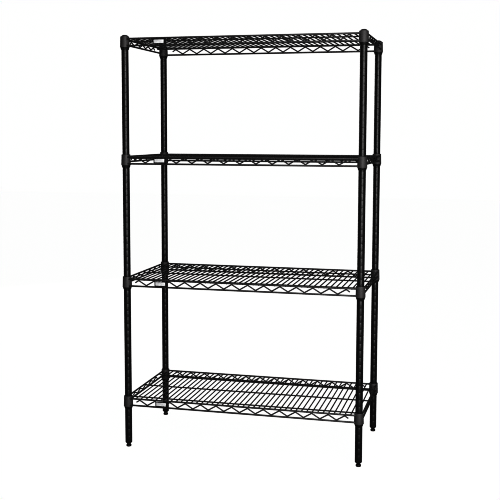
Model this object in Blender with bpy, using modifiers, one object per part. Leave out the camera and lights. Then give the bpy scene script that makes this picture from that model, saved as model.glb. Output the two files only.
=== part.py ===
"""Four-shelf wire shelving rack: grooved posts, split sleeves, lift-off welded wire shelves, levelling feet.

Metres, +Z up, front towards -Y. The origin is on the floor, in the middle of the four feet.
Every shelf hangs by four conical collars, each wedged on a sleeve of two halves that snaps into a
groove of its post, so a shelf lifts straight up off its sleeves.
"""
import math

import bmesh
import bpy

# ---- driving dimensions -------------------------------------------------------------------------
INCH = 0.0254
RACK_WIDTH = 36 * INCH              # over the collars
RACK_DEPTH = 18 * INCH              # over the collars
POST_LENGTH = 60 * INCH
GROOVE_PITCH = 1 * INCH             # grooves up the post, one for every shelf height
SHELF_GROOVES = (6, 24, 42, 59)     # which groove each shelf hangs at, counted from the post's foot

ROUND_SIDES = 12                    # facets of every part that is turned about a post's axis
GAP = 0.0003                        # left between two pieces that touch

# posts
POST_R = 0.0127
POST_WALL = 0.0015
GROOVE_DEPTH = 0.0008
GROOVE_HALF_HEIGHT = 0.0028
POST_FOOT_Z = 0.018

# collars and sleeves, heights from the shelf's top rail
COLLAR_TOP = 0.0085
COLLAR_FOOT = -0.031
COLLAR_TOP_R = 0.0162
COLLAR_FOOT_R = 0.0174
COLLAR_WALL = 0.0021
SLEEVE_TOP = 0.009
SLEEVE_LIP = -0.033                 # the sleeve is widest here, just under the collar
SLEEVE_FOOT = -0.040
SLEEVE_FOOT_R = 0.0135
SLEEVE_BEAD = -0.0183               # the inner bead that sits in a groove of the post

# shelf wires
RAIL_R = 0.003
LONG_DROP = 1 * INCH                # from the top rail down to the lower rail, on the long sides
SHORT_DROP = 0.75 * INCH            # and on the short sides
RAIL_OFFSET = 0.010                 # the rails run this far outside the post axes
ZIGZAG_R = 0.0023
ZIGZAG_INSET = 0.00445              # from a rail's centreline to the zig-zag wire's, in its bends
DECK_WIRE_R = 0.0021
DECK_WIRES = 44
DECK_PITCH = 0.020                  # the wires end level with the top rails, the outer two on the collars
ROD_R = 0.0024
ROD_Z = -(DECK_WIRE_R + GAP + ROD_R)            # the rods run just under the deck wires
ROD_YS = (-0.168, 0.0, 0.168)
ZIGZAG_PITCH = 3 * DECK_PITCH       # an upper bend under every third deck wire
LONG_ZIGZAG_PEAKS = 14
SHORT_ZIGZAG_PEAKS = 5
STUB_RUN = 0.0128                   # the zig-zag's cut ends, past the last upper bends
STUB_DROP = 0.0075

# post caps
CAP_DOME = 0.0072
CAP_PLUG = 0.012

# levelling feet, heights from the floor
INSERT_FOOT_Z = 0.0115
INSERT_TOP_Z = 0.045
INSERT_FOOT_R = 0.0076
STEM_R = 0.0045
STEM_BORE_R = 0.0049
STEM_FOOT_Z = 0.0028
STEM_TOP_Z = 0.043
HEX_FOOT_Z = 0.0082
HEX_TOP_Z = 0.0112
HEX_R = 0.0069
PAD_TOP_Z = 0.0079
PAD_R = 0.0095
PAD_FLAT_R = 0.0078
PAD_SOCKET_Z = 0.0025

# tag plates on the front truss
TAG_WIDTH = 0.052
TAG_HEIGHT = 0.0186
TAG_THICKNESS = 0.0024
TAG_X = -15 * DECK_PITCH            # half-way between two upper bends of the zig-zag

# ---- worked out from the driving dimensions -----------------------------------------------------
POST_X = RACK_WIDTH / 2 - COLLAR_FOOT_R
POST_Y = RACK_DEPTH / 2 - COLLAR_FOOT_R
RAIL_X = POST_X + RAIL_OFFSET
RAIL_Y = POST_Y + RAIL_OFFSET
POST_TOP_Z = POST_FOOT_Z + POST_LENGTH
TUBE_R = POST_R - POST_WALL
SLEEVE_BORE_R = POST_R + GAP
PLUG_R = TUBE_R - GAP
SHELF_ZS = [POST_FOOT_Z + n * GROOVE_PITCH - SLEEVE_BEAD for n in SHELF_GROOVES]

CORNERS = {
    "front_left": (-POST_X, -POST_Y),
    "front_right": (POST_X, -POST_Y),
    "back_left": (-POST_X, POST_Y),
    "back_right": (POST_X, POST_Y),
}


# ---- scene, collections, materials --------------------------------------------------------------
def clear_scene():
    for old in list(bpy.data.objects):
        bpy.data.objects.remove(old, do_unlink=True)


def new_collection(name):
    made = bpy.data.collections.new(name)
    bpy.context.scene.collection.children.link(made)
    return made


def new_material(name, colour, roughness, metallic=0.0):
    made = bpy.data.materials.new(name)
    made.use_nodes = True
    shader = made.node_tree.nodes["Principled BSDF"]
    shader.inputs["Base Color"].default_value = (*colour, 1.0)
    shader.inputs["Roughness"].default_value = roughness
    shader.inputs["Metallic"].default_value = metallic
    return made


def place(name, mesh, material, location=(0.0, 0.0, 0.0)):
    """Put a mesh in the rack as a named piece with its own material."""
    piece = bpy.data.objects.new(name, mesh)
    parts.objects.link(piece)
    piece.location = location
    piece.parent = rack
    if not mesh.materials:
        mesh.materials.append(None)
    piece.material_slots[0].link = "OBJECT"
    piece.material_slots[0].material = material
    return piece


# ---- shapes -------------------------------------------------------------------------------------
def profile_mesh(name, points, closed):
    """A turned part's outline as edges in the XZ plane, down its outer side from the top."""
    outline = bmesh.new()
    verts = [outline.verts.new((radius, 0.0, height)) for radius, height in points]
    for start, end in zip(verts, verts[1:]):
        outline.edges.new((start, end))
    if closed:
        outline.edges.new((verts[-1], verts[0]))
    mesh = bpy.data.meshes.new(name)
    outline.to_mesh(mesh)
    outline.free()
    return mesh


def turn(piece):
    """Turn a piece's outline about its own vertical axis."""
    screw = piece.modifiers.new("turn", "SCREW")
    screw.steps = ROUND_SIDES
    screw.render_steps = ROUND_SIDES
    screw.use_merge_vertices = True
    screw.merge_threshold = 0.00001
    screw.use_smooth_shade = False


def mesh_from(builder, name):
    mesh = bpy.data.meshes.new(name)
    builder.to_mesh(mesh)
    builder.free()
    return mesh


def cones(name, foot_r, top_r, foot, top):
    """Four upright cones, one on each post's axis."""
    builder = bmesh.new()
    for x, y in CORNERS.values():
        made = bmesh.ops.create_cone(
            builder, cap_ends=True, segments=ROUND_SIDES, radius1=foot_r, radius2=top_r, depth=top - foot)
        bmesh.ops.translate(builder, verts=made["verts"], vec=(x, y, (foot + top) / 2))
    return guide(name, mesh_from(builder, name))


def guide(name, mesh):
    """A working solid that is cut from or joined to a part, kept out of the parts' collection."""
    made = bpy.data.objects.new(name, mesh)
    cutters.objects.link(made)
    made.hide_render = True
    made.display_type = "WIRE"
    return made


def wires(name, paths, radius, resolution):
    """Straight-run wires as one mesh, each a closed solid with welded ends."""
    curve = bpy.data.curves.new(name, "CURVE")
    curve.dimensions = "3D"
    curve.bevel_depth = radius
    curve.bevel_resolution = resolution
    curve.use_fill_caps = True
    for path in paths:
        spline = curve.splines.new("POLY")
        spline.points.add(len(path) - 1)
        for point, place_at in zip(spline.points, path):
            point.co = (*place_at, 1.0)
    carrier = guide(name, curve)
    bpy.context.view_layer.update()
    mesh = bpy.data.meshes.new_from_object(carrier.evaluated_get(bpy.context.evaluated_depsgraph_get()))
    bpy.data.objects.remove(carrier, do_unlink=True)
    builder = bmesh.new()
    builder.from_mesh(mesh)
    bmesh.ops.remove_doubles(builder, verts=builder.verts, dist=0.00001)
    bmesh.ops.recalc_face_normals(builder, faces=builder.faces)
    builder.to_mesh(mesh)
    builder.free()
    return guide(name, mesh)


def combine(base, tool, operation):
    """Join the tool's solids to the base, or cut them from it, and drop the tool."""
    boolean = base.modifiers.new("combine", "BOOLEAN")
    boolean.solver = "EXACT"
    boolean.operation = operation
    boolean.object = tool
    bpy.context.view_layer.update()
    result = bpy.data.meshes.new_from_object(base.evaluated_get(bpy.context.evaluated_depsgraph_get()))
    base.modifiers.remove(boolean)
    base.data = result
    bpy.data.objects.remove(tool, do_unlink=True)


# ---- posts, caps and inserts --------------------------------------------------------------------
def post_mesh():
    """A steel tube, open at both ends, with a shallow groove where each shelf hangs."""
    points = [(POST_R, POST_LENGTH)]
    for groove in reversed(SHELF_GROOVES):
        height = groove * GROOVE_PITCH
        points.append((POST_R, height + GROOVE_HALF_HEIGHT))
        points.append((POST_R - GROOVE_DEPTH, height))
        points.append((POST_R, height - GROOVE_HALF_HEIGHT))
    points += [(POST_R, 0.0), (TUBE_R, 0.0), (TUBE_R, POST_LENGTH)]
    return profile_mesh("post", points, closed=True)


def cap_mesh():
    """A domed plastic cap on a plug; heights from the post's top end."""
    points = []
    dome_steps = 3
    for step in range(dome_steps + 1):
        angle = math.radians(90 - 80 * step / dome_steps)
        points.append((POST_R * math.cos(angle) / math.cos(math.radians(10)), GAP + CAP_DOME * math.sin(angle)))
    points.append((POST_R, GAP))
    points += [(PLUG_R, GAP), (PLUG_R, -CAP_PLUG), (0.0, -CAP_PLUG)]
    points[0] = (0.0, GAP + CAP_DOME)
    return profile_mesh("cap", points, closed=False)


def insert_mesh():
    """The threaded insert pressed in the post's foot, with a tapered nose below the tube."""
    points = [
        (PLUG_R, INSERT_TOP_Z),
        (PLUG_R, POST_FOOT_Z - GAP),
        (POST_R, POST_FOOT_Z - GAP),
        (POST_R, POST_FOOT_Z - 0.0012),
        (INSERT_FOOT_R, INSERT_FOOT_Z),
        (STEM_BORE_R, INSERT_FOOT_Z),
        (STEM_BORE_R, INSERT_TOP_Z),
    ]
    return profile_mesh("insert", points, closed=True)


# ---- levelling feet -----------------------------------------------------------------------------
def pad_mesh():
    """The round pad, with a rounded edge and a socket for the stem's end."""
    points = [
        (PAD_R * 0.9, PAD_TOP_Z),
        (PAD_R, PAD_TOP_Z - 0.0012),
        (PAD_R, 0.0022),
        (PAD_R - 0.0005, 0.0008),
        (PAD_FLAT_R, 0.0),
        (0.0, 0.0),
    ]
    points = [(0.0, PAD_SOCKET_Z), (STEM_BORE_R, PAD_SOCKET_Z), (STEM_BORE_R, PAD_TOP_Z)] + points
    return profile_mesh("pad", points, closed=False)


def stem_mesh():
    """The threaded stem with the hexagon that a spanner turns; heights from the floor."""
    builder = bmesh.new()
    bmesh.ops.create_cone(
        builder, cap_ends=True, segments=ROUND_SIDES, radius1=STEM_R, radius2=STEM_R,
        depth=STEM_TOP_Z - STEM_FOOT_Z)
    bmesh.ops.translate(builder, verts=builder.verts, vec=(0, 0, (STEM_TOP_Z + STEM_FOOT_Z) / 2))
    shaft = guide("stem_shaft", mesh_from(builder, "stem"))
    builder = bmesh.new()
    bmesh.ops.create_cone(
        builder, cap_ends=True, segments=6, radius1=HEX_R, radius2=HEX_R, depth=HEX_TOP_Z - HEX_FOOT_Z)
    bmesh.ops.translate(builder, verts=builder.verts, vec=(0, 0, (HEX_TOP_Z + HEX_FOOT_Z) / 2))
    hexagon = guide("stem_hexagon", mesh_from(builder, "stem_hexagon"))
    combine(shaft, hexagon, "UNION")
    mesh = shaft.data
    bpy.data.objects.remove(shaft, do_unlink=True)
    return mesh


# ---- split sleeves ------------------------------------------------------------------------------
def collar_bore_r(height):
    """The collar's inner radius at a height from the shelf's top rail."""
    up = (height - COLLAR_FOOT) / (COLLAR_TOP - COLLAR_FOOT)
    return COLLAR_FOOT_R + up * (COLLAR_TOP_R - COLLAR_FOOT_R) - COLLAR_WALL


def sleeve_half_mesh():
    """Half of a tapered sleeve, the half towards +Y; heights from the shelf's top rail."""
    points = [
        (collar_bore_r(SLEEVE_TOP) - GAP, SLEEVE_TOP),
        (collar_bore_r(SLEEVE_LIP) - GAP, SLEEVE_LIP),
        (SLEEVE_FOOT_R, SLEEVE_FOOT),
        (SLEEVE_BORE_R, SLEEVE_FOOT),
        (SLEEVE_BORE_R, SLEEVE_BEAD - GROOVE_HALF_HEIGHT + 2 * GAP),
        (SLEEVE_BORE_R - GROOVE_DEPTH + GAP, SLEEVE_BEAD),
        (SLEEVE_BORE_R, SLEEVE_BEAD + GROOVE_HALF_HEIGHT - 2 * GAP),
        (SLEEVE_BORE_R, SLEEVE_TOP),
    ]
    seam = 0.5 * GAP / SLEEVE_BORE_R + 0.001
    builder = bmesh.new()
    verts = []
    for radius, height in points:
        verts.append(builder.verts.new((radius * math.cos(seam), radius * math.sin(seam), height)))
    face = builder.faces.new(verts)
    bmesh.ops.spin(
        builder, geom=[face, *face.edges, *verts], cent=(0, 0, 0), axis=(0, 0, 1), dvec=(0, 0, 0),
        angle=math.pi - 2 * seam, steps=ROUND_SIDES // 2, use_duplicate=False)
    bmesh.ops.recalc_face_normals(builder, faces=builder.faces)
    return mesh_from(builder, "sleeve_half")


# ---- shelves ------------------------------------------------------------------------------------
def zigzag(peaks, drop):
    """(along, height) points of a zig-zag wire with its cut ends, between rails `drop` apart."""
    top, foot = -ZIGZAG_INSET, ZIGZAG_INSET - drop
    first = -(peaks - 1) / 2 * ZIGZAG_PITCH
    points = [(first - STUB_RUN, top - STUB_DROP)]
    for peak in range(peaks):
        along = first + peak * ZIGZAG_PITCH
        points.append((along, top))
        if peak < peaks - 1:
            points.append((along + ZIGZAG_PITCH / 2, foot))
    points.append((-first + STUB_RUN, top - STUB_DROP))
    return points


def shelf_mesh():
    """One welded shelf; heights from its top rails' centreline."""
    both = (-1, 1)
    rail_ends = (POST_X, POST_Y)
    long_rails = [
        [(-rail_ends[0], side * RAIL_Y, height), (rail_ends[0], side * RAIL_Y, height)]
        for side in both for height in (0.0, -LONG_DROP)]
    short_rails = [
        [(side * RAIL_X, -rail_ends[1], height), (side * RAIL_X, rail_ends[1], height)]
        for side in both for height in (0.0, -SHORT_DROP)]
    rods = [[(-RAIL_X, y, ROD_Z), (RAIL_X, y, ROD_Z)] for y in ROD_YS]
    long_zigzags = [[(x, side * RAIL_Y, z) for x, z in zigzag(LONG_ZIGZAG_PEAKS, LONG_DROP)] for side in both]
    short_zigzags = [[(side * RAIL_X, y, z) for y, z in zigzag(SHORT_ZIGZAG_PEAKS, SHORT_DROP)] for side in both]
    first_wire = -(DECK_WIRES - 1) / 2 * DECK_PITCH
    deck = []
    for number in range(DECK_WIRES):
        x = first_wire + number * DECK_PITCH
        end = POST_Y if abs(x) > POST_X - COLLAR_TOP_R else RAIL_Y
        deck.append([(x, -end, 0.0), (x, end, 0.0)])

    shelf = cones("shelf", COLLAR_FOOT_R, COLLAR_TOP_R, COLLAR_FOOT, COLLAR_TOP)
    combine(shelf, wires("rails", long_rails + short_rails, RAIL_R, 1), "UNION")
    combine(shelf, wires("zigzags", long_zigzags + short_zigzags, ZIGZAG_R, 0), "UNION")
    combine(shelf, wires("rods", rods, ROD_R, 0), "UNION")
    combine(shelf, wires("deck", deck, DECK_WIRE_R, 0), "UNION")
    below = COLLAR_FOOT - 0.001
    above = COLLAR_TOP + 0.001
    bores = cones("bores", collar_bore_r(below), collar_bore_r(above), below, above)
    combine(shelf, bores, "DIFFERENCE")
    mesh = shelf.data
    mesh.name = "shelf"
    bpy.data.objects.remove(shelf, do_unlink=True)
    return mesh


# ---- tag plates ---------------------------------------------------------------------------------
def tag_mesh():
    """A blank tag plate with clipped corners, centred on its own back face."""
    builder = bmesh.new()
    bmesh.ops.create_cube(builder, size=1.0)
    bmesh.ops.scale(builder, verts=builder.verts, vec=(TAG_WIDTH, TAG_THICKNESS, TAG_HEIGHT))
    bmesh.ops.translate(builder, verts=builder.verts, vec=(0, -TAG_THICKNESS / 2, 0))
    upright = [e for e in builder.edges if abs(e.verts[0].co.y - e.verts[1].co.y) > TAG_THICKNESS / 2]
    bmesh.ops.bevel(builder, geom=upright, offset=0.0015, segments=2, affect="EDGES", profile=0.5)
    return mesh_from(builder, "tag")


# ---- the rack -----------------------------------------------------------------------------------
clear_scene()
parts = new_collection("wire_shelving_rack")
cutters = new_collection("working_solids")
rack = bpy.data.objects.new("rack", None)
parts.objects.link(rack)

BLACK_EPOXY = (0.012, 0.011, 0.011)
BLACK_PLASTIC = (0.014, 0.013, 0.013)
post_paint = new_material("post_epoxy", BLACK_EPOXY, 0.38)
shelf_paint = new_material("shelf_epoxy", BLACK_EPOXY, 0.42)
sleeve_plastic = new_material("sleeve_plastic", BLACK_PLASTIC, 0.5)
cap_plastic = new_material("cap_plastic", BLACK_PLASTIC, 0.45)
insert_plastic = new_material("insert_plastic", BLACK_PLASTIC, 0.5)
stem_steel = new_material("stem_steel", (0.35, 0.35, 0.36), 0.35, 1.0)
pad_plastic = new_material("pad_plastic", BLACK_PLASTIC, 0.55)
tag_plate = new_material("tag_plate", (0.75, 0.75, 0.76), 0.4)

post = post_mesh()
cap = cap_mesh()
insert = insert_mesh()
pad = pad_mesh()
stem = stem_mesh()
for corner, (x, y) in CORNERS.items():
    turn(place("post_" + corner, post, post_paint, (x, y, POST_FOOT_Z)))
    turn(place("cap_" + corner, cap, cap_plastic, (x, y, POST_TOP_Z)))
    turn(place("insert_" + corner, insert, insert_plastic, (x, y, 0.0)))
    turn(place("foot_pad_" + corner, pad, pad_plastic, (x, y, 0.0)))
    place("foot_stem_" + corner, stem, stem_steel, (x, y, 0.0))

shelf = shelf_mesh()
sleeve_half = sleeve_half_mesh()
tag = tag_mesh()
for number, shelf_z in enumerate(SHELF_ZS, start=1):
    place("shelf_" + str(number), shelf, shelf_paint, (0.0, 0.0, shelf_z))
    tag_y = -(RAIL_Y + ZIGZAG_R + GAP)
    place("tag_" + str(number), tag, tag_plate, (TAG_X, tag_y, shelf_z - LONG_DROP / 2))
    for corner, (x, y) in CORNERS.items():
        stem_name = "sleeve_" + str(number) + "_" + corner
        rear = place(stem_name + "_rear_half", sleeve_half, sleeve_plastic, (x, y, shelf_z))
        front = place(stem_name + "_front_half", sleeve_half, sleeve_plastic, (x, y, shelf_z))
        front.rotation_euler.z = math.pi

bpy.context.view_layer.update()
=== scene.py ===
"""The looks of the wire shelving rack: meshes, coatings, studio and camera round its frame."""
import math

import bmesh
import bpy
from mathutils import Matrix, Vector


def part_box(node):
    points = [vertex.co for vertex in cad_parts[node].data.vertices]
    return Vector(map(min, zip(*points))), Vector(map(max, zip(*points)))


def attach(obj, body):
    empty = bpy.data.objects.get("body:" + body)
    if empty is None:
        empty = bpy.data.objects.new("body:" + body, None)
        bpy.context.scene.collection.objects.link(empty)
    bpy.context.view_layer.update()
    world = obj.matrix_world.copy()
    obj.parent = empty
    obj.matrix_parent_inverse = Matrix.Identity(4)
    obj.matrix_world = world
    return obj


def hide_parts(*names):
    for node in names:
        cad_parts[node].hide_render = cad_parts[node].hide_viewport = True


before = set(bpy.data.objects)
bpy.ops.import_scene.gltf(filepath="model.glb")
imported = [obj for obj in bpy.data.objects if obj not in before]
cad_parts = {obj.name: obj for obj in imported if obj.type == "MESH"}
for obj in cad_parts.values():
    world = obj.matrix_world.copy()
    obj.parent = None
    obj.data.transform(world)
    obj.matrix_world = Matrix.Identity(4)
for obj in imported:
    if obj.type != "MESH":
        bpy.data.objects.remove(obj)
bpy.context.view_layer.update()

# ---- sizes, metres ------------------------------------------------------------------------------
INCH = 0.0254
POST_R = 0.0127
TUBE_R = 0.0112                     # the inside of a post
PLUG_R = 0.0109                     # caps and inserts, where they fill a post
POST_EDGE = 0.0004
GROOVE_PITCH = 1 * INCH
GROOVE_DEPTH = 0.00025
GROOVE_HALF_HEIGHT = 0.0010
GROOVE_STEPS = 3                    # rings of points on each side of a groove's middle

COLLAR_TOP = 0.0085                 # collar and sleeve heights are from the shelf's top rail
COLLAR_FOOT = -0.031
COLLAR_TOP_R = 0.0162
COLLAR_FOOT_R = 0.0174
COLLAR_WALL = 0.0021
COLLAR_EDGE = 0.0008
SLEEVE_TOP = 0.009
SLEEVE_FOOT = -0.040
SLEEVE_BEAD = -0.0183
SLEEVE_GAP = 0.0003
SLEEVE_SEAM = 0.012                 # radians, at each end of a half

RAIL_R = 0.003
LONG_DROP = 1 * INCH
SHORT_DROP = 0.75 * INCH
RAIL_OFFSET = 0.010                 # from the post's axis out to the rails' centreline
RAIL_SINK = 0.0012                  # how far a rail's end runs into the collar
ZIGZAG_R = 0.0023
ZIGZAG_INSET = 0.00445
ZIGZAG_BEND = 0.005
DECK_WIRE_R = 0.0021
DECK_WIRES = 44
DECK_PITCH = 0.020
ZIGZAG_PITCH = 3 * DECK_PITCH
DECK_Z = -0.0018
ROD_R = 0.0024
ROD_Z = DECK_Z - 0.0044             # the rods press into the deck wires at their welds
ROD_BEND = 0.0030
ROD_TOP = -0.001                    # where a rod's bent-up ends stop, inside the side rails
ROD_YS = (-0.168, 0.0, 0.168)
LONG_PEAKS = 14
SHORT_PEAKS = 5
STUB_RUN = 0.0128
STUB_DROP = 0.0075

THREAD_PITCH = 0.0015
THREAD_DEPTH = 0.0005

TAG_LOW, TAG_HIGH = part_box("tag_1")
TAG_SIZE = TAG_HIGH - TAG_LOW
LABEL_SIZE = Vector((0.0385, 0.0007, 0.0130))
LABEL_SHIFT = -0.0035               # the label sits left of the holder's middle
LABEL_GAP = 0.0001                  # behind the label
RECESS_DEPTH = 0.0009
RECESS_MARGIN = 0.0006

# ---- how finely round things are divided --------------------------------------------------------
ROUND_SIDES = 48
COLLAR_SIDES = 64
RAIL_SIDES = 16
ROD_SIDES = 14
WIRE_SIDES = 12
HALF_SLEEVE_SIDES = 24
HOOK_SIDES = 20
END_WELD_SIDES, END_WELD_LEVELS = 14, 8

ACROSS, ALONG = Vector((1, 0, 0)), Vector((0, 1, 0))
SIDES = (-1, 1)
CORNERS = ("front_left", "front_right", "back_left", "back_right")
SHELVES = (1, 2, 3, 4)


# ---- places, from the frame ---------------------------------------------------------------------
def middle(node):
    low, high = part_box(node)
    return (low + high) / 2


def top_of(node):
    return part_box(node)[1].z


def foot_of(node):
    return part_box(node)[0].z


AXES = {corner: Vector((*middle("post_" + corner).xy, 0.0)) for corner in CORNERS}
POST_X = AXES["front_right"].x
POST_Y = AXES["back_right"].y
RAIL_X = POST_X + RAIL_OFFSET
RAIL_Y = POST_Y + RAIL_OFFSET
RAIL_REACH = math.sqrt(COLLAR_TOP_R ** 2 - RAIL_OFFSET ** 2) - RAIL_SINK
LONG_END, SHORT_END = POST_X - RAIL_REACH, POST_Y - RAIL_REACH
RAIL_ZS = {number: top_of("shelf_" + str(number)) - COLLAR_TOP for number in SHELVES}


# ---- mesh tools ---------------------------------------------------------------------------------
class Form:
    """Points and faces gathered for one mesh."""

    def __init__(self):
        self.points = []
        self.faces = []

    def rings(self, rings, closed_round=True, closed_along=False):
        """Join rings of points, each as long as the next; a ring of one point is a tip."""
        starts = []
        for ring in rings:
            starts.append(len(self.points))
            self.points.extend(ring)
        count = len(rings)
        last = count if closed_along else count - 1
        for here in range(last):
            there = (here + 1) % count
            self.band(
                starts[here], len(rings[here]), starts[there], len(rings[there]), closed_round)

    def band(self, first, first_len, second, second_len, closed_round):
        """Fill between two rings, given by their first points' indices and their lengths."""
        around = max(first_len, second_len)
        steps = around if closed_round else around - 1
        for step in range(steps):
            after = (step + 1) % around
            if first_len == 1:
                self.faces.append((first, second + after, second + step))
            elif second_len == 1:
                self.faces.append((first + step, first + after, second))
            else:
                self.faces.append((first + step, first + after, second + after, second + step))

    def mesh(self, name, sharp_degrees=38):
        made = bpy.data.meshes.new(name)
        made.from_pydata([tuple(point) for point in self.points], [], self.faces)
        builder = bmesh.new()
        builder.from_mesh(made)
        bmesh.ops.recalc_face_normals(builder, faces=builder.faces)
        builder.to_mesh(made)
        builder.free()
        made.shade_smooth()
        made.set_sharp_from_angle(angle=math.radians(sharp_degrees))
        return made


def soften(points, reach, closed=True, steps=3):
    """Round the corners of an outline; each corner's curve starts `reach` away from it."""
    count = len(points)
    most = 0.45                     # of a leg that one corner's curve may take
    made = []
    for number, corner in enumerate(points):
        if not closed and number in (0, count - 1):
            made.append(corner)
            continue
        corner = Vector(corner)
        before = Vector(points[number - 1]) - corner
        after = Vector(points[(number + 1) % count]) - corner
        start = corner + before.normalized() * min(reach, before.length * most)
        end = corner + after.normalized() * min(reach, after.length * most)
        for step in range(steps + 1):
            t = step / steps
            made.append(tuple(start * (1 - t) ** 2 + corner * 2 * t * (1 - t) + end * t ** 2))
    return made


def lathe(form, outline, sides, centre=(0, 0, 0), closed=True, start=0.0, sweep=2 * math.pi):
    """Turn an (r, z) outline about a vertical axis; a part turn gets flat ends."""
    centre = Vector(centre)
    whole = abs(sweep - 2 * math.pi) < 1e-9
    stations = sides if whole else sides + 1
    base = len(form.points)
    rows = []
    for radius, height in outline:
        if radius < 1e-7:
            rows.append([centre + Vector((0, 0, height))])
            continue
        row = []
        for station in range(stations):
            angle = start + sweep * station / sides
            row.append(
                centre + Vector((radius * math.cos(angle), radius * math.sin(angle), height)))
        rows.append(row)
    form.rings(rows, closed_round=whole, closed_along=closed)
    if not whole:
        length = len(outline)
        form.faces.append(tuple(base + row * stations for row in range(length)))
        form.faces.append(
            tuple(base + row * stations + sides for row in reversed(range(length))))


def tube(form, path, radius, side, sides):
    """Sweep a round wire along a path that lies square to `side`, with its cut ends softened."""
    edge = 0.0005                   # length of the softened end
    bulge, shrink = 0.7, 0.35       # its middle ring: share of the length, share of the narrowing
    path = [Vector(point) for point in path]
    side = Vector(side).normalized()
    rings = []
    last = len(path) - 1
    for number, point in enumerate(path):
        along = (path[min(number + 1, last)] - path[max(number - 1, 0)]).normalized()
        up = along.cross(side)
        ring = []
        for station in range(sides):
            angle = 2 * math.pi * station / sides
            ring.append(point + (side * math.cos(angle) + up * math.sin(angle)) * radius)
        rings.append(ring)
        if number in (0, last):
            out = -along if number == 0 else along
            inner = [
                point + out * edge * bulge + (corner - point) * (1 - shrink * edge / radius)
                for corner in ring]
            narrow = [point + out * edge + (corner - point) * (1 - edge / radius)
                      for corner in ring]
            tip = [point + out * edge]
            if number == 0:
                rings[0:1] = [tip, narrow, inner, ring]
            else:
                rings += [inner, narrow, tip]
    form.rings(rings)


def blob(form, centre, radii, sides=8, levels=4):
    """A small weld nugget: an ellipsoid with the given half-sizes."""
    centre = Vector(centre)
    rings = []
    for level in range(levels + 1):
        tilt = math.pi * level / levels - math.pi / 2
        if level in (0, levels):
            rings.append([centre + Vector((0, 0, radii[2] * math.sin(tilt)))])
            continue
        ring = []
        for station in range(sides):
            angle = 2 * math.pi * station / sides
            across = math.cos(tilt)
            ring.append(centre + Vector((
                radii[0] * across * math.cos(angle), radii[1] * across * math.sin(angle),
                radii[2] * math.sin(tilt))))
        rings.append(ring)
    form.rings(rings)


def piece(name, mesh, materials, body, node=None, location=(0, 0, 0)):
    """Show a mesh as a piece of the rack that rides on a body and stands for a CAD node."""
    made = bpy.data.objects.new(name, mesh)
    bpy.context.scene.collection.objects.link(made)
    made.location = location
    if not mesh.materials:
        for material in materials if isinstance(materials, tuple) else (materials,):
            mesh.materials.append(material)
    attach(made, body)
    if node:
        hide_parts(node)


# ---- materials ----------------------------------------------------------------------------------
class Coat:
    """Node helpers for one material."""

    PATTERN_LOW, PATTERN_HIGH = 0.3, 0.7    # the part of a noise pattern's range that is used

    def __init__(self, name, metallic=0.0, specular=0.5):
        self.material = bpy.data.materials.new(name)
        self.material.use_nodes = True
        self.tree = self.material.node_tree
        self.shader = self.tree.nodes["Principled BSDF"]
        self.shader.inputs["Metallic"].default_value = metallic
        self.shader.inputs["Specular IOR Level"].default_value = specular
        self.place = self.node("ShaderNodeTexCoord").outputs["Object"]

    def node(self, kind, **settings):
        made = self.tree.nodes.new(kind)
        for key, value in settings.items():
            setattr(made, key, value)
        return made

    def link(self, output, target):
        self.tree.links.new(output, target)

    def noise(self, scale, detail, stretch=(1, 1, 1)):
        """Noise whose grain is about 1/scale metres."""
        mapping = self.node("ShaderNodeMapping")
        mapping.inputs["Scale"].default_value = stretch
        self.link(self.place, mapping.inputs["Vector"])
        made = self.node("ShaderNodeTexNoise")
        made.inputs["Scale"].default_value = scale
        made.inputs["Detail"].default_value = detail
        self.link(mapping.outputs["Vector"], made.inputs["Vector"])
        return made.outputs["Fac"]

    def spread(self, value, low, high, start=PATTERN_LOW, end=PATTERN_HIGH):
        """Map a pattern's values from start..end to low..high."""
        made = self.node("ShaderNodeMapRange")
        made.inputs["From Min"].default_value = start
        made.inputs["From Max"].default_value = end
        made.inputs["To Min"].default_value = low
        made.inputs["To Max"].default_value = high
        self.link(value, made.inputs["Value"])
        return made.outputs["Result"]

    def colours(self, value, low, high):
        """Map a pattern to the colours between low and high."""
        made = self.node("ShaderNodeValToRGB")
        made.color_ramp.elements[0].position = self.PATTERN_LOW
        made.color_ramp.elements[0].color = (*low, 1)
        made.color_ramp.elements[1].position = self.PATTERN_HIGH
        made.color_ramp.elements[1].color = (*high, 1)
        self.link(value, made.inputs["Fac"])
        return made.outputs["Color"]

    def mix(self, factor, first, second):
        made = self.node("ShaderNodeMix", data_type="RGBA")
        self.link(factor, made.inputs["Factor"])
        self.link(first, made.inputs["A"])
        self.link(second, made.inputs["B"])
        return made.outputs["Result"]

    def bump(self, layers):
        """Layers of (height pattern, depth in metres), the coarsest first."""
        normal = None
        for height, distance in layers:
            made = self.node("ShaderNodeBump")
            made.inputs["Strength"].default_value = 1.0
            made.inputs["Distance"].default_value = distance
            self.link(height, made.inputs["Height"])
            if normal is not None:
                self.link(normal, made.inputs["Normal"])
            normal = made.outputs["Normal"]
        self.link(normal, self.shader.inputs["Normal"])

    def edges(self):
        """1 on the convex edges, where a coating rubs thin, and 0 elsewhere."""
        flat, keen = 0.52, 0.62
        pointiness = self.node("ShaderNodeNewGeometry").outputs["Pointiness"]
        return self.spread(pointiness, 0.0, 1.0, flat, keen)

    def paint(self, colour):
        self.link(colour, self.shader.inputs["Base Color"])

    def gloss(self, roughness):
        self.link(roughness, self.shader.inputs["Roughness"])


def lighter(colour, factor):
    return tuple(value * factor for value in colour)


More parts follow.
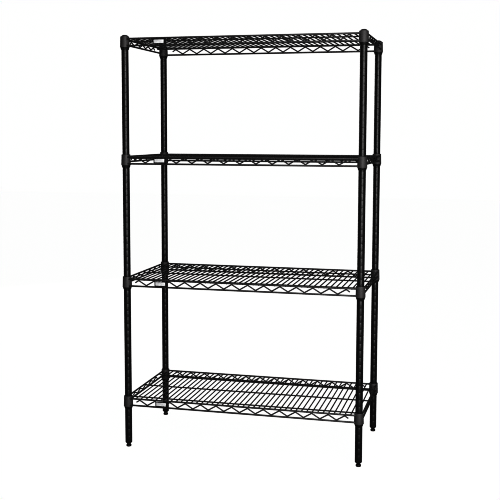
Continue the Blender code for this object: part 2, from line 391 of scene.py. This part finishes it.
def epoxy_material(name, base, worn, roughness, specular):
    """Baked black epoxy: orange-peel, faint clouding, a little polish on the edges."""
    peel_depth, grit_depth = 0.000012, 0.000004
    coat = Coat(name, specular=specular)
    cloud = coat.noise(scale=22.0, detail=4.0)
    peel = coat.noise(scale=420.0, detail=2.0)
    grit = coat.noise(scale=1900.0, detail=3.0)
    dark = coat.colours(cloud, base, lighter(base, 1.5))
    rubbed = coat.colours(grit, worn, lighter(worn, 1.3))
    coat.paint(coat.mix(coat.edges(), dark, rubbed))
    coat.gloss(coat.spread(cloud, roughness - 0.05, roughness + 0.07))
    coat.bump([(peel, peel_depth), (grit, grit_depth)])
    return coat.material


def plastic_material(name, base, roughness):
    """Moulded black plastic with a fine spark-eroded grain."""
    grain_depth = 0.00003
    coat = Coat(name, specular=0.45)
    grain = coat.noise(scale=2600.0, detail=3.0)
    cloud = coat.noise(scale=60.0, detail=3.0)
    coat.paint(coat.colours(cloud, base, lighter(base, 1.6)))
    coat.gloss(coat.spread(grain, roughness - 0.07, roughness + 0.08))
    coat.bump([(grain, grain_depth)])
    return coat.material


def zinc_material():
    """Black zinc-plated steel with turning marks."""
    mark_depth = 0.00002
    coat = Coat("black_zinc_steel", metallic=1.0)
    turned = coat.noise(scale=900.0, detail=4.0, stretch=(0.2, 0.2, 3.0))
    bloom = coat.noise(scale=300.0, detail=3.0)
    coat.paint(coat.colours(bloom, (0.030, 0.030, 0.031), (0.075, 0.073, 0.070)))
    coat.gloss(coat.spread(turned, 0.25, 0.45))
    coat.bump([(turned, mark_depth)])
    return coat.material


def label_material():
    """A blank silver-white label plate, finely brushed along its length."""
    brush_depth = 0.00002
    coat = Coat("label_plate", specular=0.5)
    brushed = coat.noise(scale=700.0, detail=4.0, stretch=(0.06, 1.0, 1.6))
    smudge = coat.noise(scale=90.0, detail=3.0)
    coat.paint(coat.colours(smudge, (0.38, 0.38, 0.385), (0.55, 0.55, 0.55)))
    coat.gloss(coat.spread(brushed, 0.28, 0.46))
    coat.bump([(brushed, brush_depth)])
    return coat.material


post_epoxy = epoxy_material(
    "post_epoxy", base=(0.0100, 0.0096, 0.0096), worn=(0.020, 0.0195, 0.0195),
    roughness=0.38, specular=0.5)
shelf_epoxy = epoxy_material(
    "shelf_epoxy", base=(0.0180, 0.0174, 0.0174), worn=(0.034, 0.033, 0.033),
    roughness=0.56, specular=0.75)
# The collars use a lighter copy of the shelf's epoxy. Its raised base colour is painted sheen that
# stands for the brighter highlight on the collars.
collar_epoxy_painted_sheen = epoxy_material(
    "collar_epoxy_painted_sheen", base=(0.0440, 0.0420, 0.0425), worn=(0.070, 0.068, 0.068),
    roughness=0.62, specular=0.75)
sleeve_plastic = plastic_material("sleeve_plastic", (0.0080, 0.0078, 0.0078), roughness=0.52)
cap_plastic = plastic_material("cap_plastic", (0.0110, 0.0106, 0.0106), roughness=0.50)
foot_plastic = plastic_material("foot_plastic", (0.0060, 0.0058, 0.0058), roughness=0.60)
holder_plastic = plastic_material("holder_plastic", (0.0070, 0.0068, 0.0068), roughness=0.45)
zinc = zinc_material()
label = label_material()


# ---- posts --------------------------------------------------------------------------------------
def post_mesh():
    """A rolled tube with a shallow groove at every inch; heights from the post's foot."""
    length = top_of("post_front_left") - foot_of("post_front_left")
    grooves = round(length / GROOVE_PITCH) - 1
    outline = [
        (TUBE_R, 0.0), (TUBE_R, length),
        (POST_R - POST_EDGE, length), (POST_R, length - POST_EDGE)]
    for groove in range(grooves, 0, -1):
        for step in range(-GROOVE_STEPS, GROOVE_STEPS + 1):
            share = step / GROOVE_STEPS
            depth = GROOVE_DEPTH * (1 + math.cos(math.pi * share)) / 2
            outline.append((POST_R - depth, groove * GROOVE_PITCH - share * GROOVE_HALF_HEIGHT))
    outline += [(POST_R, POST_EDGE), (POST_R - POST_EDGE, 0.0)]
    form = Form()
    lathe(form, outline, ROUND_SIDES)
    return form.mesh("post", 50)


def cap_mesh():
    """A domed cap with a narrow rim and a plain plug; heights from the post's top end."""
    dome = top_of("cap_front_left") - top_of("post_front_left")
    depth = top_of("post_front_left") - foot_of("cap_front_left")
    rim, dome_steps = 0.0012, 14
    seat, chamfer, nose_r = 0.0003, 0.001, 0.0101
    outline = [(0.0, dome)]
    for step in range(1, dome_steps + 1):
        angle = math.pi / 2 * (1 - step / dome_steps)
        outline.append((POST_R * math.cos(angle), rim + (dome - rim) * math.sin(angle)))
    outline += [
        (POST_R, 2 * seat), (POST_R - POST_EDGE, seat), (PLUG_R, seat),
        (PLUG_R, -depth + chamfer), (nose_r, -depth), (0.0, -depth)]
    form = Form()
    lathe(form, outline, ROUND_SIDES, closed=False)
    return form.mesh("cap", 45)


def insert_mesh():
    """The pressed-in threaded insert and its tapered nose; heights from the floor."""
    nose, inner_top = foot_of("insert_front_left"), top_of("insert_front_left")
    tube_foot = foot_of("post_front_left")
    seat, rim_edge, rim_high = 0.0003, 0.0003, 0.0016
    bore_r, nose_r, taper_r, nose_high = 0.0050, 0.0076, 0.0082, 0.0008
    outline = soften([
        (PLUG_R, inner_top), (PLUG_R, tube_foot - seat), (POST_R, tube_foot - seat),
        (POST_R - rim_edge, tube_foot - rim_high), (taper_r, nose + nose_high), (nose_r, nose),
        (bore_r, nose), (bore_r, inner_top)], 0.0006)
    form = Form()
    lathe(form, outline, ROUND_SIDES)
    return form.mesh("insert", 50)


def pad_mesh():
    """The round foot pad: soft edges, a flat underside and the stem's socket."""
    high = top_of("foot_pad_front_left")
    flat_r, edge_r, pad_r, shoulder_r = 0.0073, 0.0088, 0.0095, 0.0082
    lip_r, socket_r, socket_floor = 0.0053, 0.0049, 0.0025
    outline = soften([
        (0.0, 0.0), (flat_r, 0.0), (edge_r, 0.0006), (pad_r, 0.0022), (pad_r, high - 0.0024),
        (shoulder_r, high), (lip_r, high), (socket_r, high - 0.0006), (socket_r, socket_floor),
        (0.0, socket_floor)], 0.0008, closed=False)
    form = Form()
    lathe(form, outline, ROUND_SIDES, closed=False)
    return form.mesh("pad", 50)


def stem_mesh():
    """A threaded stem with a chamfered hexagon; heights from the floor."""
    low, high = foot_of("foot_stem_front_left"), top_of("foot_stem_front_left")
    radius = 0.0045
    root = radius - THREAD_DEPTH
    sides, per_pitch = 24, 6
    least, tip_taper = 0.1, 0.0002  # the thread's share of its height at the tips, and their taper
    hex_low, hex_high, chamfer = 0.0082, 0.0112, 0.0004
    flat, corner, trimmed = 0.0060, 1.155, 0.86
    form = Form()
    rings = [[Vector((0, 0, low))]]
    steps = int((high - low) / THREAD_PITCH * per_pitch)
    for step in range(steps + 1):
        height = low + (high - low) * step / steps
        fade = min(
            1.0, (height - low) / THREAD_PITCH + least, (high - height) / THREAD_PITCH + least)
        ring = []
        for station in range(sides):
            phase = (height / THREAD_PITCH - station / sides) % 1.0
            crest = 1 - abs(2 * phase - 1)
            size = root - tip_taper * (1 - fade) + (radius - root) * crest * fade
            angle = 2 * math.pi * station / sides
            ring.append(Vector((size * math.cos(angle), size * math.sin(angle), height)))
        rings.append(ring)
    rings.append([Vector((0, 0, high))])
    form.rings(rings)
    rings = [[Vector((0, 0, hex_low))]]
    for height, grow in (
            (hex_low, trimmed), (hex_low + chamfer, 1.0), (hex_high - chamfer, 1.0),
            (hex_high, trimmed)):
        ring = []
        for station in range(ROUND_SIDES):
            angle = 2 * math.pi * station / ROUND_SIDES
            to_flat = (angle + math.pi / 6) % (math.pi / 3) - math.pi / 6
            reach = min(flat / math.cos(to_flat), flat * corner * grow)
            ring.append(Vector((reach * math.cos(angle), reach * math.sin(angle), height)))
        rings.append(ring)
    rings.append([Vector((0, 0, hex_high))])
    form.rings(rings)
    return form.mesh("stem", 35)


# ---- sleeves ------------------------------------------------------------------------------------
def cone_r(height):
    """The collar's outer radius at a height from the top rail."""
    up = (height - COLLAR_FOOT) / (COLLAR_TOP - COLLAR_FOOT)
    return COLLAR_FOOT_R + up * (COLLAR_TOP_R - COLLAR_FOOT_R)


def sleeve_mesh(start):
    """Half a split sleeve: a thin tapered wall, a fuller lip under the collar, an inner bead."""
    bore = POST_R + SLEEVE_GAP
    lip_top = COLLAR_FOOT - 0.0006
    lip_r = cone_r(lip_top) - COLLAR_WALL
    lip_proud, lip_shoulder, lip_high = 0.0004, 0.0008, 0.0028
    top_wall, top_edge = 0.0003, 0.0004
    foot_wall, foot_edge = 0.0006, 0.0003
    bead_deep, bead_half = 0.0005, 0.0022
    outline = soften([
        (bore + top_wall, SLEEVE_TOP),
        (cone_r(SLEEVE_TOP) - COLLAR_WALL - top_edge, SLEEVE_TOP - top_edge),
        (lip_r - SLEEVE_GAP, lip_top),
        (lip_r + lip_proud, lip_top - lip_shoulder),
        (lip_r + lip_proud / 2, lip_top - lip_high),
        (bore + foot_wall, SLEEVE_FOOT + foot_edge),
        (bore + 0.0001, SLEEVE_FOOT),
        (bore, SLEEVE_BEAD - bead_half),
        (bore - bead_deep, SLEEVE_BEAD),
        (bore, SLEEVE_BEAD + bead_half)], 0.0005, steps=2)
    form = Form()
    lathe(form, outline, HALF_SLEEVE_SIDES,
          start=start + SLEEVE_SEAM, sweep=math.pi - 2 * SLEEVE_SEAM)
    return form.mesh("sleeve_half", 45)


# ---- shelves ------------------------------------------------------------------------------------
def zigzag_lean(drop):
    """The angle of the zig-zag wire's legs between rails `drop` apart."""
    return math.atan2(drop - 2 * ZIGZAG_INSET, ZIGZAG_PITCH / 2)


def rounded_zigzag(peaks, drop):
    """(along, height) points of a zig-zag wire with round bends and short cut ends."""
    lean = zigzag_lean(drop)
    spare = ZIGZAG_BEND * (1 / math.cos(lean) - 1)
    top = -ZIGZAG_INSET + spare
    foot = ZIGZAG_INSET - drop - spare
    stub_foot = top - spare - STUB_DROP
    first = -(peaks - 1) / 2 * ZIGZAG_PITCH
    ease = 1.15                     # the bends' curves start this much further out than an arc's
    corners = [(first - STUB_RUN, stub_foot)]
    for peak in range(peaks):
        along = first + peak * ZIGZAG_PITCH
        corners.append((along, top))
        if peak < peaks - 1:
            corners.append((along + ZIGZAG_PITCH / 2, foot))
    corners.append((-first + STUB_RUN, stub_foot))
    return soften(corners, ZIGZAG_BEND * math.tan(lean) * ease, closed=False, steps=5)


def collar(form, centre):
    """A conical ring with rolled edges."""
    outline = soften([
        (cone_r(COLLAR_TOP), COLLAR_TOP), (cone_r(COLLAR_FOOT), COLLAR_FOOT),
        (cone_r(COLLAR_FOOT) - COLLAR_WALL, COLLAR_FOOT),
        (cone_r(COLLAR_TOP) - COLLAR_WALL, COLLAR_TOP)], COLLAR_EDGE, steps=4)
    lathe(form, outline, COLLAR_SIDES, centre)


def rails(form, side):
    """The rails of one long and one short side, with a weld at each end on the collar."""
    weld_deep, weld_wide = 0.0026, 0.0041
    long_weld_at, short_weld_at = 1.0015, 1.003     # times the rail's half-length
    for height in (0.0, -LONG_DROP):
        ends = [(-LONG_END, side * RAIL_Y, height), (LONG_END, side * RAIL_Y, height)]
        tube(form, ends, RAIL_R, ALONG, RAIL_SIDES)
        for x, y, z in ends:
            blob(form, (x * long_weld_at, y, z), (weld_deep, weld_wide, weld_wide),
                 END_WELD_SIDES, END_WELD_LEVELS)
    for height in (0.0, -SHORT_DROP):
        ends = [(side * RAIL_X, -SHORT_END, height), (side * RAIL_X, SHORT_END, height)]
        tube(form, ends, RAIL_R, ACROSS, RAIL_SIDES)
        for x, y, z in ends:
            blob(form, (x, y * short_weld_at, z), (weld_wide, weld_deep, weld_wide),
                 END_WELD_SIDES, END_WELD_LEVELS)


def trusses(form, side):
    """The zig-zag wires of one long and one short side, with a weld at each bend."""
    long_points = rounded_zigzag(LONG_PEAKS, LONG_DROP)
    short_points = rounded_zigzag(SHORT_PEAKS, SHORT_DROP)
    tube(form, [(x, side * RAIL_Y, z) for x, z in long_points], ZIGZAG_R, ALONG, WIRE_SIDES)
    tube(form, [(side * RAIL_X, y, z) for y, z in short_points], ZIGZAG_R, ACROSS, WIRE_SIDES)
    weld_long, weld_thin, weld_high = 0.0034, 0.0015, 0.0011
    weld_z = RAIL_R * 1.04          # from the rail's centreline to the weld's
    for peaks, drop, place in (
            (LONG_PEAKS, LONG_DROP, "long"), (SHORT_PEAKS, SHORT_DROP, "short")):
        for bend in range(2 * peaks - 1):
            run = (bend - (peaks - 1)) * ZIGZAG_PITCH / 2
            height = -weld_z if bend % 2 == 0 else -drop + weld_z
            if place == "long":
                blob(form, (run, side * RAIL_Y, height), (weld_long, weld_thin, weld_high))
            else:
                blob(form, (side * RAIL_X, run, height), (weld_thin, weld_long, weld_high))


def rods(form):
    """The rods under the deck wires, bent up at both ends into the side rails."""
    weld, weld_z = (0.0031, 0.0031, 0.0012), -0.0029
    for y in ROD_YS:
        bent = soften(
            [(-RAIL_X, ROD_TOP), (-RAIL_X, ROD_Z), (RAIL_X, ROD_Z), (RAIL_X, ROD_TOP)],
            ROD_BEND, closed=False, steps=5)
        tube(form, [(x, y, z) for x, z in bent], ROD_R, ALONG, ROD_SIDES)
        for side in SIDES:
            blob(form, (side * RAIL_X, y, weld_z), weld)


def deck(form):
    """The deck wires, welded to the rods and to the long rails, or to the collars."""
    end_weld, rod_weld = (0.0029, 0.0016, 0.0027), (0.0020, 0.0023, 0.0008)
    inside_rail, inside_collar = 0.0015, 0.0010
    first = -(DECK_WIRES - 1) / 2 * DECK_PITCH
    for number in range(DECK_WIRES):
        x = first + number * DECK_PITCH
        at_collar = abs(x) > POST_X - COLLAR_TOP_R
        wire_end = SHORT_END if at_collar else RAIL_Y - inside_rail
        weld = SHORT_END - inside_collar if at_collar else RAIL_Y - RAIL_R
        tube(form, [(x, -wire_end, DECK_Z), (x, wire_end, DECK_Z)],
             DECK_WIRE_R, ACROSS, WIRE_SIDES)
        for side in SIDES:
            blob(form, (x, side * weld, DECK_Z), end_weld)
        for y in ROD_YS:
            blob(form, (x, y, DECK_Z - DECK_WIRE_R), rod_weld)


def shelf_mesh():
    """One welded shelf, heights from its top rails' centreline; its collars have slot 1."""
    form = Form()
    for corner in AXES.values():
        collar(form, corner)
    collar_faces = len(form.faces)
    for side in SIDES:
        rails(form, side)
        trusses(form, side)
    rods(form)
    deck(form)
    made = form.mesh("shelf", 42)
    for face in made.polygons:
        face.material_index = 1 if face.index < collar_faces else 0
    return made


# ---- tags ---------------------------------------------------------------------------------------
def slab(size, corner, edge):
    """A plate facing -Y with round corners and softened front edges, as a bmesh."""
    builder = bmesh.new()
    bmesh.ops.create_cube(builder, size=1.0)
    bmesh.ops.scale(builder, verts=builder.verts, vec=size)
    upright = [e for e in builder.edges if abs(e.verts[0].co.y - e.verts[1].co.y) > size[1] / 2]
    bmesh.ops.bevel(
        builder, geom=upright, offset=corner, segments=5, affect="EDGES", profile=0.5)
    front = [e for e in builder.edges if max(v.co.y for v in e.verts) < 0
             and len(e.link_faces) == 2 and any(abs(f.normal.y) > 0.9 for f in e.link_faces)]
    bmesh.ops.bevel(builder, geom=front, offset=edge, segments=3, affect="EDGES", profile=0.5)
    return builder


def finished(builder, name, sharp_degrees=35):
    made = bpy.data.meshes.new(name)
    builder.to_mesh(made)
    builder.free()
    made.shade_smooth()
    made.set_sharp_from_angle(angle=math.radians(sharp_degrees))
    return made


def cut(base, cutter):
    """The base mesh with the cutter mesh's solid taken out."""
    body = bpy.data.objects.new("body", base)
    tool = bpy.data.objects.new("tool", cutter)
    for item in (body, tool):
        bpy.context.scene.collection.objects.link(item)
    boolean = body.modifiers.new("cut", "BOOLEAN")
    boolean.solver = "EXACT"
    boolean.operation = "DIFFERENCE"
    boolean.object = tool
    bpy.context.view_layer.update()
    evaluated = body.evaluated_get(bpy.context.evaluated_depsgraph_get())
    made = bpy.data.meshes.new_from_object(evaluated)
    for item in (body, tool):
        bpy.data.objects.remove(item, do_unlink=True)
    return made


def clip(form, centre, lean):
    """A hook on the holder's back that goes round a leg of the zig-zag wire."""
    inner, outer = ZIGZAG_R + 0.0002, ZIGZAG_R + 0.0014
    half, edge = 0.0026, 0.0003
    open_from, turned = math.radians(-80), math.radians(300)
    turn = Matrix.Rotation(lean, 4, "Y") @ Matrix.Rotation(math.pi / 2, 4, "Y")
    hook = Form()
    outline = soften(
        [(outer, half), (outer, -half), (inner, -half), (inner, half)], edge, steps=2)
    lathe(hook, outline, HOOK_SIDES, start=open_from, sweep=turned)
    base = len(form.points)
    form.points += [turn @ point + Vector(centre) for point in hook.points]
    form.faces += [tuple(base + index for index in face) for face in hook.faces]


def holder_mesh():
    """The snap-on tag holder with a recess for its label; its middle is the origin."""
    plate = finished(slab(TAG_SIZE, corner=0.0018, edge=0.0005), "holder_plate")
    cutter_deep = 0.002
    recess = slab(
        (LABEL_SIZE.x + RECESS_MARGIN, cutter_deep, LABEL_SIZE.z + RECESS_MARGIN),
        corner=0.0012, edge=0.0001)
    recess_y = -TAG_SIZE.y / 2 - cutter_deep / 2 + RECESS_DEPTH
    bmesh.ops.translate(recess, verts=recess.verts, vec=(LABEL_SHIFT, recess_y, 0))
    made = cut(plate, finished(recess, "recess"))
    lean = zigzag_lean(LONG_DROP)
    hooks = Form()
    back = TAG_SIZE.y / 2 + SLEEVE_GAP + ZIGZAG_R
    for side in SIDES:
        clip(hooks, (side * ZIGZAG_PITCH / 4, back, 0), -side * lean)
    clips = hooks.mesh("clips")
    joined = bmesh.new()
    joined.from_mesh(made)
    joined.from_mesh(clips)
    return finished(joined, "holder")


def label_mesh():
    return finished(slab(LABEL_SIZE, corner=0.0010, edge=0.0002), "label")


# ---- dress the frame ----------------------------------------------------------------------------
post, cap, insert, pad, stem = post_mesh(), cap_mesh(), insert_mesh(), pad_mesh(), stem_mesh()
for corner, axis in AXES.items():
    at_foot = axis + Vector((0, 0, foot_of("post_" + corner)))
    at_top = axis + Vector((0, 0, top_of("post_" + corner)))
    foot_pad, foot_stem = "foot_pad_" + corner, "foot_stem_" + corner
    piece("coated_post_" + corner, post, post_epoxy,
          "posts", "post_" + corner, at_foot)
    piece("domed_cap_" + corner, cap, cap_plastic,
          "posts", "cap_" + corner, at_top)
    piece("foot_insert_" + corner, insert, foot_plastic,
          "posts", "insert_" + corner, axis)
    piece("round_pad_" + corner, pad, foot_plastic, foot_pad, foot_pad, axis)
    piece("threaded_stem_" + corner, stem, zinc, foot_stem, foot_stem, axis)

shelf, holder, label_plate = shelf_mesh(), holder_mesh(), label_mesh()
label_y = -TAG_SIZE.y / 2 + RECESS_DEPTH - LABEL_SIZE.y / 2 - LABEL_GAP
halves = {"rear_half": sleeve_mesh(0.0), "front_half": sleeve_mesh(math.pi)}
for number in SHELVES:
    name, tag = "shelf_" + str(number), "tag_" + str(number)
    rail_z = Vector((0, 0, RAIL_ZS[number]))
    centre = middle(tag)
    seat = centre + Vector((LABEL_SHIFT, label_y, 0))
    piece("welded_" + name, shelf, (shelf_epoxy, collar_epoxy_painted_sheen), name, name, rail_z)
    piece("holder_" + tag, holder, holder_plastic, name, tag, centre)
    piece("label_" + tag, label_plate, label, name, None, seat)
    for corner, axis in AXES.items():
        for half, mesh in halves.items():
            node = "sleeve_" + str(number) + "_" + corner + "_" + half
            piece("moulded_" + node, mesh, sleeve_plastic,
                  "posts", node, axis + rail_z)


# ---- studio -------------------------------------------------------------------------------------
def studio_floor(half_width, seen, lit):
    """A pale floor that glows, but lights less than it shows, so that black wires stay black."""
    builder = bmesh.new()
    bmesh.ops.create_grid(builder, x_segments=2, y_segments=2, size=half_width)
    made = bpy.data.meshes.new("studio_floor")
    builder.to_mesh(made)
    builder.free()
    floor = bpy.data.objects.new("studio_floor", made)
    bpy.context.scene.collection.objects.link(floor)
    material = bpy.data.materials.new("pale_floor")
    material.use_nodes = True
    shader = material.node_tree.nodes["Principled BSDF"]
    shader.inputs["Base Color"].default_value = (0.015, 0.015, 0.015, 1)
    shader.inputs["Emission Color"].default_value = (1, 1, 1, 1)
    shader.inputs["Roughness"].default_value = 1.0
    shader.inputs["Specular IOR Level"].default_value = 0.0
    rays = material.node_tree.nodes.new("ShaderNodeLightPath")
    glow = material.node_tree.nodes.new("ShaderNodeMapRange")
    glow.inputs["To Min"].default_value = lit
    glow.inputs["To Max"].default_value = seen
    material.node_tree.links.new(rays.outputs["Is Camera Ray"], glow.inputs["Value"])
    material.node_tree.links.new(glow.outputs["Result"], shader.inputs["Emission Strength"])
    made.materials.append(material)


def area_light(name, location, target, width, height, watts):
    lamp = bpy.data.lights.new(name, "AREA")
    lamp.shape = "RECTANGLE"
    lamp.size = width
    lamp.size_y = height
    lamp.energy = watts
    made = bpy.data.objects.new(name, lamp)
    made.location = location
    made.rotation_euler = (
        Vector(target) - Vector(location)).to_track_quat("-Z", "Y").to_euler()
    bpy.context.scene.collection.objects.link(made)


def sky_light(strength, angle):
    """An even light from straight overhead, as from a large diffuser."""
    lamp = bpy.data.lights.new("overhead", "SUN")
    lamp.energy = strength
    lamp.angle = math.radians(angle)
    bpy.context.scene.collection.objects.link(bpy.data.objects.new("overhead", lamp))


def studio_world(seen, lit):
    """A white backdrop, dimmer as a light so that the black coat keeps dark edges."""
    world = bpy.data.worlds.new("studio")
    bpy.context.scene.world = world
    world.use_nodes = True
    tree = world.node_tree
    tree.nodes.clear()
    backdrop = tree.nodes.new("ShaderNodeBackground")
    backdrop.inputs["Strength"].default_value = seen
    ambient = tree.nodes.new("ShaderNodeBackground")
    ambient.inputs["Strength"].default_value = lit
    for shade in (backdrop, ambient):
        shade.inputs["Color"].default_value = (1, 1, 1, 1)
    rays = tree.nodes.new("ShaderNodeLightPath")
    blend = tree.nodes.new("ShaderNodeMixShader")
    out = tree.nodes.new("ShaderNodeOutputWorld")
    tree.links.new(rays.outputs["Is Camera Ray"], blend.inputs["Fac"])
    tree.links.new(ambient.outputs["Background"], blend.inputs[1])
    tree.links.new(backdrop.outputs["Background"], blend.inputs[2])
    tree.links.new(blend.outputs["Shader"], out.inputs["Surface"])


def camera(place, yaw, pitch, roll, lens, shift_y):
    """A camera looking along +Y, turned by yaw to the left and pitch upwards, in degrees."""
    data = bpy.data.cameras.new("camera")
    data.sensor_width = 36.0
    data.lens = lens
    data.shift_y = shift_y
    made = bpy.data.objects.new("camera", data)
    made.matrix_world = (
        Matrix.Translation(place)
        @ Matrix.Rotation(math.radians(yaw), 4, "Z")
        @ Matrix.Rotation(math.radians(90 + pitch), 4, "X")
        @ Matrix.Rotation(math.radians(roll), 4, "Z"))
    bpy.context.scene.collection.objects.link(made)
    bpy.context.scene.camera = made


studio_floor(half_width=14.0, seen=0.985, lit=0.30)
studio_world(seen=1.0, lit=0.07)
sky_light(strength=1.8, angle=90)
area_light(
    "front_softbox", location=(1.75, -3.5, 1.30), target=(0.1, 0, 0.78),
    width=2.7, height=3.4, watts=345)
area_light(
    "back_softbox", location=(-2.6, 2.8, 1.7), target=(0, 0, 0.9),
    width=2.4, height=3.0, watts=65)
camera(
    place=(0.8848, -3.5254, 1.1940), yaw=14.363, pitch=-5.408, roll=0.115,
    lens=68.47, shift_y=-0.055)

bpy.context.scene.cycles.filter_width = 1.0     # pixels: thin wires stay thin and dark
bpy.context.scene.view_settings.view_transform = "Raw"
bpy.context.scene.view_settings.look = "None"
